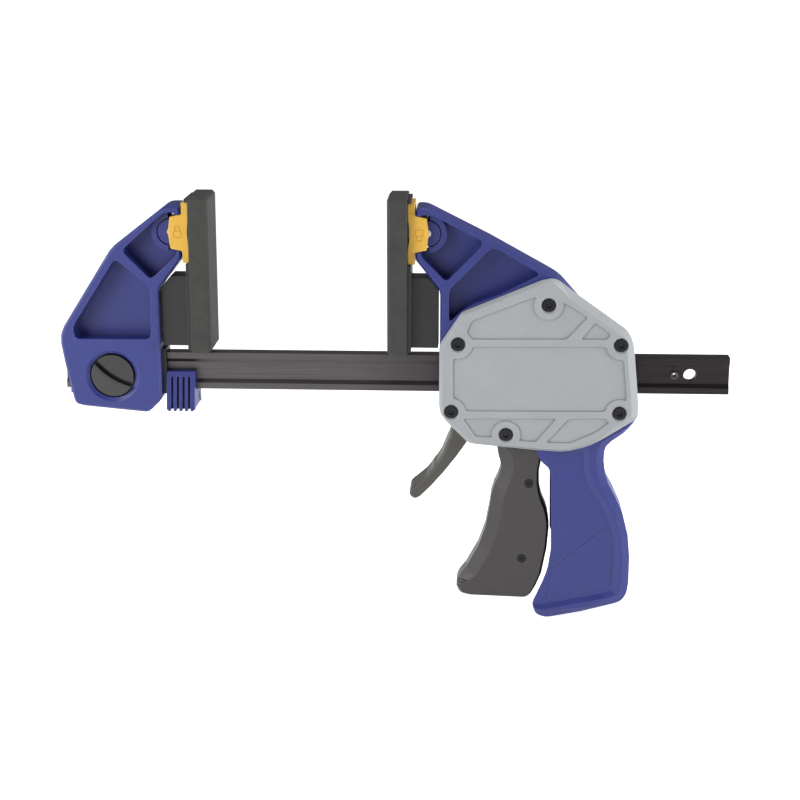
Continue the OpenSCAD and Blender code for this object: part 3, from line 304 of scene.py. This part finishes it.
def pad_rubber(name):
    """Black thermoplastic rubber, moulded: matt and a little chalky, with specks of bloom about
    1.5 mm apart and a soft mottle 9 mm across."""
    material, tree, shader, place = fresh(name)
    cloud = add(
        tree,
        "ShaderNodeTexNoise",
        {"Vector": place, "Scale": 1 / CLOUD_SIZE, "Detail": 4.0, "Roughness": 0.6},
    )
    tone = ramp(tree, cloud.outputs["Fac"], linear("#383837"), linear("#424240"), high=CLOUD_HIGH)
    specks = add(tree, "ShaderNodeTexVoronoi", {"Vector": place, "Scale": 1 / SPECK_SIZE})
    bloom = add(
        tree,
        "ShaderNodeMapRange",
        {
            "Value": specks.outputs["Distance"],
            "From Min": 0.0,
            "From Max": BLOOM_REACH,
            "To Min": BLOOM_SHARE,
            "To Max": 0.0,
        },
    )
    chalky = add(
        tree,
        "ShaderNodeMix",
        {"Factor": bloom.outputs["Result"], MIX_A: tone, MIX_B: linear("#4C4C49")},
        data_type="RGBA",
    )
    rounded = add(tree, "ShaderNodeBevel", {"Radius": RUBBER_EDGE}, samples=EDGE_SAMPLES)
    bump = add(
        tree,
        "ShaderNodeBump",
        {
            "Strength": SPECK_STRENGTH,
            "Distance": SPECK_DEPTH,
            "Height": specks.outputs["Distance"],
            "Normal": rounded.outputs["Normal"],
        },
    )
    plug(
        tree,
        shader,
        {
            "Base Color": chalky.outputs[MIX_COLOUR],
            "Normal": bump.outputs["Normal"],
            "Roughness": RUBBER_ROUGH,
            "IOR": RUBBER_IOR,
            "Specular IOR Level": RUBBER_SPECULAR,
        },
    )
    return material


def rolled_steel(name, colour, reflection_colour, rough):
    """Cold-drawn bar steel, blackened and oiled: a dark metal with fine draw lines along the bar,
    0.35 mm apart and some 60 mm long, so its reflections smear across the lines. The part that
    the head slides on, between the jaws, is lighter with a painted reflection, which fades to the
    full black over 90 mm."""
    material, tree, shader, place = fresh(name)
    drawn = add(
        tree,
        "ShaderNodeMapping",
        {"Vector": place, "Scale": (1 / LINE_LENGTH, 1 / LINE_WIDTH, 1 / LINE_WIDTH)},
    )
    lines = add(
        tree,
        "ShaderNodeTexNoise",
        {"Vector": drawn.outputs["Vector"], "Scale": 1.0, "Detail": 3.0},
    ).outputs["Fac"]
    along = add(tree, "ShaderNodeSeparateXYZ", {"Vector": place})
    # Painted reflection: the bar's colour is lighter towards -X and fades to the full black
    black = ramp(tree, along.outputs["X"], reflection_colour, colour, low=REFLECTION_END, high=BLACK_START)
    streaks = ramp(tree, lines, grey(LINE_DARK), grey(LINE_LIGHT))
    lined = add(
        tree,
        "ShaderNodeMix",
        {"Factor": 1.0, MIX_A: black, MIX_B: streaks},
        data_type="RGBA",
        blend_type="MULTIPLY",
    )
    shine = add(
        tree,
        "ShaderNodeMapRange",
        {
            "Value": lines,
            **NOISE_BAND,
            "To Min": rough + DRAWN_SHINE[0],
            "To Max": rough + DRAWN_SHINE[1],
        },
    )
    rounded = add(tree, "ShaderNodeBevel", {"Radius": DRAWN_EDGE}, samples=EDGE_SAMPLES)
    bump = add(
        tree,
        "ShaderNodeBump",
        {
            "Strength": LINE_STRENGTH,
            "Distance": LINE_DEPTH,
            "Height": lines,
            "Normal": rounded.outputs["Normal"],
        },
    )
    plug(
        tree,
        shader,
        {
            "Base Color": lined.outputs[MIX_COLOUR],
            "Roughness": shine.outputs["Result"],
            "Normal": bump.outputs["Normal"],
            "Metallic": 1.0,
        },
    )
    return material


def ground_steel(name, colour, rough):
    """Ground or drawn steel of a small piece: cloudy marks of the grinding, 2 mm across, make its
    reflections a little brighter in one place and duller in the next."""
    material, tree, shader, place = fresh(name)
    marks = add(
        tree,
        "ShaderNodeTexNoise",
        {"Vector": place, "Scale": 1 / GRIND_SIZE, "Detail": 4.0},
    ).outputs["Fac"]
    tone = ramp(tree, marks, shade(colour, GRIND_DARK), shade(colour, GRIND_LIGHT))
    shine = add(
        tree,
        "ShaderNodeMapRange",
        {
            "Value": marks,
            **NOISE_BAND,
            "To Min": rough + GRIND_SHINE[0],
            "To Max": rough + GRIND_SHINE[1],
        },
    )
    plug(
        tree,
        shader,
        {
            "Base Color": tone,
            "Roughness": shine.outputs["Result"],
            "Metallic": 1.0,
        },
    )
    return material


def dress(material, *names):
    """Gives CAD nodes one material in every slot."""
    for name in names:
        for slot in NODES[name].material_slots:
            slot.material = material


def grid_mesh(name, points, closed=False):
    """A mesh of quads over a grid of points, with rows along u and columns along v. Where it is
    closed, its last row joins its first. The faces' corners are index sums over the whole grid."""
    rows, cols = points.shape[:2]
    spans = rows if closed else rows - 1
    a, b = np.meshgrid(np.arange(spans), np.arange(cols - 1), indexing="ij")
    here, ahead = a * cols + b, (a + 1) % rows * cols + b
    quads = np.stack([here, ahead, ahead + 1, here + 1], -1).reshape(-1, 4)
    mesh = bpy.data.meshes.new(name)
    mesh.from_pydata(points.reshape(-1, 3), [], quads)
    mesh.validate()
    return mesh


def link(name, data):
    """A new object at the origin, in the scene."""
    piece = bpy.data.objects.new(name, data)
    bpy.context.scene.collection.objects.link(piece)
    return piece


def swept_bead(line, face_y, height, width, closed):
    """A low rounded bead on a face that looks towards -Y, along a line of points in X and Z. The
    unit vector ahead goes from the point before to the point after, and the one across is it
    turned a quarter. A section point at angle t lies width / 2 * cos(t) across the line and
    height * sin(t) proud of the face, and the bead's foot is sunk under the face. The angle
    goes down from pi to 0, so that the bead's faces look outwards."""
    if closed:
        ahead = np.roll(line, -1, 0) - np.roll(line, 1, 0)
    else:
        ahead = np.gradient(line, axis=0)
    ahead /= np.linalg.norm(ahead, axis=1)[:, None]
    t = np.linspace(math.pi, 0, SECTION_POINTS)
    side = (width / 2) * np.cos(t)
    grid = np.zeros((len(line), len(t), 3))
    grid[..., 0] = line[:, None, 0] - ahead[:, None, 1] * side
    grid[..., 1] = face_y - height * np.sin(t) + BEAD_SUNK
    grid[..., 2] = line[:, None, 1] + ahead[:, None, 0] * side
    return grid


class ClampSettings(bpy.types.PropertyGroup):
    moulding_colour: bpy.props.FloatVectorProperty(
        name="Mouldings",
        description="Colour of both jaws, the grip and the clip",
        subtype="COLOR",
        size=4,
        min=0,
        max=1,
        default=linear("#2A337E"),
    )
    moulding_edge: bpy.props.FloatVectorProperty(
        name="Mouldings, worn edges",
        description="Colour that the mouldings wear to along their edges",
        subtype="COLOR",
        size=4,
        min=0,
        max=1,
        default=linear("#4F59A0"),
    )
    cover_colour: bpy.props.FloatVectorProperty(
        name="Cover",
        description="Colour of the cover on the housing",
        subtype="COLOR",
        size=4,
        min=0,
        max=1,
        default=linear("#A9ADB0"),
    )
    cover_edge: bpy.props.FloatVectorProperty(
        name="Cover, worn edges",
        description="Colour that the cover wears to along its edges",
        subtype="COLOR",
        size=4,
        min=0,
        max=1,
        default=linear("#C6C8CA"),
    )
    swivel_colour: bpy.props.FloatVectorProperty(
        name="Swivel blocks",
        description="Colour of the swivel blocks behind the pads",
        subtype="COLOR",
        size=4,
        min=0,
        max=1,
        default=linear("#F2BE48"),
    )
    swivel_edge: bpy.props.FloatVectorProperty(
        name="Swivel blocks, worn edges",
        description="Colour that the swivel blocks wear to along their edges",
        subtype="COLOR",
        size=4,
        min=0,
        max=1,
        default=linear("#FFE39A"),
    )
    mark_size: bpy.props.FloatProperty(
        name="Padlock mark",
        description="Width of the padlock mark on the swivel blocks",
        subtype="DISTANCE",
        unit="LENGTH",
        default=4.4 * MM,
        min=2 * MM,
        max=6 * MM,
    )
    mark_inset: bpy.props.FloatProperty(
        name="Mark inset",
        description="Distance from the pad's side of a swivel block to the middle of its mark",
        subtype="DISTANCE",
        unit="LENGTH",
        default=6.8 * MM,
        min=5 * MM,
        max=9 * MM,
    )
    mark_shift: bpy.props.FloatProperty(
        name="Mark shift",
        description="How far the mark lies from the block's middle towards its shackle",
        subtype="DISTANCE",
        unit="LENGTH",
        default=1 * MM,
        min=0,
        max=3 * MM,
    )
    mark_relief: bpy.props.FloatProperty(
        name="Mark height",
        description="How far the mark stands proud of the block",
        subtype="DISTANCE",
        unit="LENGTH",
        default=0.25 * MM,
        min=0.05 * MM,
        max=0.5 * MM,
    )


class CLAMP_OT_mouldings(bpy.types.Operator):
    """Finish the blue nylon mouldings: both jaws, the grip and the clip"""

    bl_idname = "clamp.mouldings"
    bl_label = "Blue mouldings"

    def execute(self, context):
        settings = context.scene.clamp_settings
        # The glass in the nylon takes off its gloss: a deep, dry satin blue that wears paler
        nylon = moulded_plastic(
            "Glass-filled nylon, blue", settings.moulding_colour, settings.moulding_edge
        )
        dress(nylon, "fixed_jaw", "handle_body", "bar_clip")
        return {"FINISHED"}


class CLAMP_OT_cover(bpy.types.Operator):
    """Finish the grey cover and its screws"""

    bl_idname = "clamp.cover"
    bl_label = "Cover"

    def execute(self, context):
        settings = context.scene.clamp_settings
        # ABS without filler is more even than the nylon: a flat, quiet grey
        abs_grey = moulded_plastic(
            "Moulded ABS, light grey",
            settings.cover_colour,
            settings.cover_edge,
            rough=0.48,
            mottle=0.03,
        )
        dress(abs_grey, "front_cover")
        # Black oxide leaves the steel's gloss but takes nearly all its light
        screw = ground_steel("Black oxide screw steel", linear("#2C2C2E"), rough=0.26)
        dress(screw, "cover_screws", "trigger_screws")
        return {"FINISHED"}


class CLAMP_OT_steel(bpy.types.Operator):
    """Finish the bar, the pins, the plates and the springs"""

    bl_idname = "clamp.steel"
    bl_label = "Steel pieces"

    def execute(self, context):
        # A dark bar that the draw lines streak lengthwise
        drawn = rolled_steel(
            "Blackened drawn steel", linear("#332F30"), linear("#565354"), rough=0.4
        )
        dress(drawn, "bar")
        # Bright round pins that mirror the lamps as thin lines
        bright = ground_steel("Ground steel", linear("#C4C4C2"), rough=0.26)
        dress(bright, "lock_shaft", "trigger_pin", "release_pin")
        dress(bright, "fixed_swivel_pin", "moving_swivel_pin")
        # The same shine on a dark skin
        dark = ground_steel("Spring pin steel, blackened", linear("#4C4B4B"), rough=0.3)
        dress(dark, "stop_pin")
        # Duller and greyer than the pins, since nothing polishes a stamped face
        plate = ground_steel("Stamped plate steel", linear("#8C8B88"), rough=0.38)
        dress(plate, "drive_plates", "brake_plate")
        # Drawn wire, a little softer in its shine than the pins
        wire = ground_steel("Spring wire", linear("#A6A6A4"), rough=0.3)
        dress(wire, "drive_spring", "brake_spring")
        return {"FINISHED"}


class CLAMP_OT_pads(bpy.types.Operator):
    """Finish the rubber pads, their carriers, and the sleeve and guides round the bar"""

    bl_idname = "clamp.pads"
    bl_label = "Pads"

    def execute(self, context):
        # A matt charcoal that looks soft beside the plastics
        dress(pad_rubber("Moulded rubber, black"), "fixed_pad", "moving_pad")
        # Nearly black, with a dry satin and grey edges
        black = moulded_plastic(
            "Glass-filled nylon, black", linear("#131313"), linear("#363636"), rough=0.45
        )
        dress(black, "fixed_pad_carrier", "moving_pad_carrier")
        dress(black, "bar_sleeve", "front_bar_guide", "rear_bar_guide")
        return {"FINISHED"}


class CLAMP_OT_levers(bpy.types.Operator):
    """Finish the trigger, the release lever and the lock knob"""

    bl_idname = "clamp.levers"
    bl_label = "Trigger, lever and knob"

    def execute(self, context):
        # Fingers keep the trigger a little smoother than the jaws: a brownish satin grey
        warm = moulded_plastic(
            "Glass-filled nylon, warm grey", linear("#342F2F"), linear("#5A5652"), rough=0.4
        )
        dress(warm, "trigger_front_half", "trigger_rear_half")
        # The smoothest of the nylons, so that its rib catches a soft light
        dark = moulded_plastic(
            "Glass-filled nylon, dark grey", linear("#242425"), linear("#484848"), rough=0.36
        )
        dress(dark, "lock_knob")
        # Paint rounds a casting's edges and evens its grain: an olive grey, rubbed at the corners
        paint = moulded_plastic(
            "Painted die casting, warm grey", linear("#45433D"), linear("#6C6963")
        )
        dress(paint, "release_lever")
        return {"FINISHED"}


class CLAMP_OT_swivels(bpy.types.Operator):
    """Finish the yellow swivel blocks and raise a padlock mark on each"""

    bl_idname = "clamp.swivels"
    bl_label = "Swivel blocks"

    def execute(self, context):
        settings = context.scene.clamp_settings
        # Acetal is waxy and even: a smooth warm yellow with pale edges
        acetal = moulded_plastic(
            "Acetal, yellow",
            settings.swivel_colour,
            settings.swivel_edge,
            rough=0.36,
            mottle=0.04,
        )
        dress(acetal, "fixed_swivel_block", "moving_swivel_block")
        # The mark is a shade darker than the face round it, so that the low bead shows
        marked = moulded_plastic(
            "Acetal, yellow shade", linear("#DDA636"), linear("#EFC063"), rough=0.4, mottle=0.04
        )
        # Way is 1 where the pad lies towards +X and the shackle points up, and -1 where both turn
        for node, body, way in (
            ("fixed_swivel_block", "fixed_pad_unit", 1),
            ("moving_swivel_block", "moving_pad_unit", -1),
        ):
            low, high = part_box(node)
            middle_x = high.x - settings.mark_inset if way > 0 else low.x + settings.mark_inset
            middle_z = (low.z + high.z) / 2 + way * settings.mark_shift
            for tag, line, closed in self.padlock(settings.mark_size):
                line = line * np.array([1, way]) + np.array([middle_x, middle_z])
                width = BEAD_WIDTH * settings.mark_size
                grid = swept_bead(line, low.y, settings.mark_relief, width, closed)
                mesh = grid_mesh(f"{node}_{tag}", grid, closed)
                mesh.shade_smooth()
                mesh.materials.append(marked)
                mark = link(f"{node}_{tag}", mesh)
                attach(mark, body)
        return {"FINISHED"}

    def padlock(self, w):
        """The lines of a padlock w wide: each one's name, its points and whether it closes. The
        case's points at angle t lie at the signed power of cos(t) across and of sin(t) up, which
        squares a circle, and its top is at 0. The shackle goes straight up, round half a circle
        and straight down again."""
        t = np.linspace(0, 2 * math.pi, CASE_POINTS, endpoint=False)
        circle = np.stack([np.cos(t), np.sin(t)])
        across, up = np.sign(circle) * np.abs(circle) ** CASE_POWER
        half_height = CASE_HALF_HEIGHT * w
        case = np.stack([CASE_HALF_WIDTH * w * across, half_height * up - half_height], -1)

        radius, rise = SHACKLE_RADIUS * w, SHACKLE_RISE * w
        t = np.linspace(math.pi, 0, ARCH_POINTS)
        arch = np.stack([radius * np.cos(t), rise + radius * np.sin(t)], -1)
        climb = np.linspace(0, rise, LEG_POINTS, endpoint=False)
        descent = np.linspace(rise, 0, LEG_POINTS + 1)[1:]
        left = np.stack([np.full(LEG_POINTS, -radius), climb], -1)
        right = np.stack([np.full(LEG_POINTS, radius), descent], -1)
        return ("case", case, True), ("shackle", np.concatenate([left, arch, right]), False)


class CLAMP_OT_stage(bpy.types.Operator):
    """Lay the pale floor, hang the lamps and set the camera"""

    bl_idname = "clamp.stage"
    bl_label = "Stage"

    def execute(self, context):
        self.floor()
        self.world(context.scene)
        for lamp in LAMPS:
            self.lamp(*lamp)
        self.camera(context.scene)
        context.scene.view_settings.view_transform = "Standard"
        return {"FINISHED"}

    def floor(self):
        """A flat square sheet. What the camera and mirror rays see of it is near white, with the
        clamp's own soft shadow left on it."""
        low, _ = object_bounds()
        side = np.linspace(-FLOOR_HALF, FLOOR_HALF, FLOOR_LINES)
        x, y = np.meshgrid(side, side, indexing="ij")
        points = np.stack([x, y, np.full_like(x, low.z - FLOOR_DROP)], -1)
        floor = link("Floor", grid_mesh("Floor", points))
        # Matt paper, with clouds so faint that they only keep it from looking like a screen
        material = bpy.data.materials.new("White paper sweep")
        tree = bare_tree(material)
        clouds = add(tree, "ShaderNodeTexNoise", {"Scale": PAPER_CLOUDS})
        paper = ramp(tree, clouds.outputs["Fac"], linear("#F1F1F1"), linear("#F5F5F5"))
        matt = add(tree, "ShaderNodeBsdfDiffuse", {"Color": paper})
        glow = add(tree, "ShaderNodeEmission", {"Color": grey(1), "Strength": FLOOR_GLOW})
        none = add(tree, "ShaderNodeEmission", {"Strength": 0.0})
        rays = add(tree, "ShaderNodeLightPath").outputs
        seen = rays["Is Camera Ray"]
        for ray in ("Is Glossy Ray", "Is Transmission Ray"):
            either = add(tree, "ShaderNodeMath", {0: seen, 1: rays[ray]}, operation="MAXIMUM")
            seen = either.outputs[0]
        pick = add(tree, "ShaderNodeMixShader", {0: seen, 1: none.outputs[0], 2: glow.outputs[0]})
        both = add(tree, "ShaderNodeAddShader", {0: matt.outputs[0], 1: pick.outputs[0]})
        add(tree, "ShaderNodeOutputMaterial", {"Surface": both.outputs[0]})
        floor.data.materials.append(material)
        floor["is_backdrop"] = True

    def world(self, scene):
        """An even studio dome for light, and plain white where the camera looks past the floor."""
        world = bpy.data.worlds.new("Studio")
        tree = bare_tree(world)
        rays = add(tree, "ShaderNodeLightPath").outputs
        dome, white = (
            add(tree, "ShaderNodeBackground", {"Color": grey(1), "Strength": strength}).outputs[0]
            for strength in (DOME_STRENGTH, 1.0)
        )
        pick = add(tree, "ShaderNodeMixShader", {0: rays["Is Camera Ray"], 1: dome, 2: white})
        add(tree, "ShaderNodeOutputWorld", {"Surface": pick.outputs[0]})
        scene.world = world

    def lamp(self, name, place, size, power):
        """A square soft box that looks at the middle of the clamp."""
        light = bpy.data.lights.new(name, "AREA")
        light.size = size
        light.energy = power
        holder = link(name, light)
        holder.location = place
        ahead = np.array(LAMP_TARGET) - np.array(place)
        pitch = math.acos(-ahead[2] / float(np.linalg.norm(ahead)))
        yaw = math.atan2(-ahead[0], ahead[1])
        holder.rotation_euler = (pitch, 0.0, yaw)

    def camera(self, scene):
        """The camera, fitted to the photograph's view: it looks down and a little to the left."""
        camera = bpy.data.cameras.new("Camera")
        camera.lens = CAMERA_LENS
        camera.sensor_width = CAMERA_SENSOR
        camera.clip_end = CAMERA_REACH
        holder = link("Camera", camera)
        holder.location = CAMERA_PLACE
        holder.rotation_euler = (math.radians(90 - CAMERA_DOWN), 0.0, math.radians(CAMERA_LEFT))
        scene.camera = holder


STEPS = ("mouldings", "cover", "steel", "pads", "levers", "swivels", "stage")


class CLAMP_PT_panel(bpy.types.Panel):
    """Lists the clamp's pieces"""

    bl_label = "Bar clamp"
    bl_idname = "CLAMP_PT_panel"
    bl_space_type = "VIEW_3D"
    bl_region_type = "UI"
    bl_category = "Bar clamp"

    def draw(self, context):
        for step in STEPS:
            self.layout.operator("clamp." + step)
        for name in ClampSettings.__annotations__:
            self.layout.prop(context.scene.clamp_settings, name)


CLASSES = (
    ClampSettings,
    CLAMP_OT_mouldings,
    CLAMP_OT_cover,
    CLAMP_OT_steel,
    CLAMP_OT_pads,
    CLAMP_OT_levers,
    CLAMP_OT_swivels,
    CLAMP_OT_stage,
    CLAMP_PT_panel,
)


def register():
    for item in CLASSES:
        bpy.utils.register_class(item)
    bpy.types.Scene.clamp_settings = bpy.props.PointerProperty(type=ClampSettings)


def unregister():
    del bpy.types.Scene.clamp_settings
    for item in reversed(CLASSES):
        bpy.utils.unregister_class(item)


def main():
    register()
    for step in STEPS:
        getattr(bpy.ops.clamp, step)()


if __name__ == "__main__":
    main()
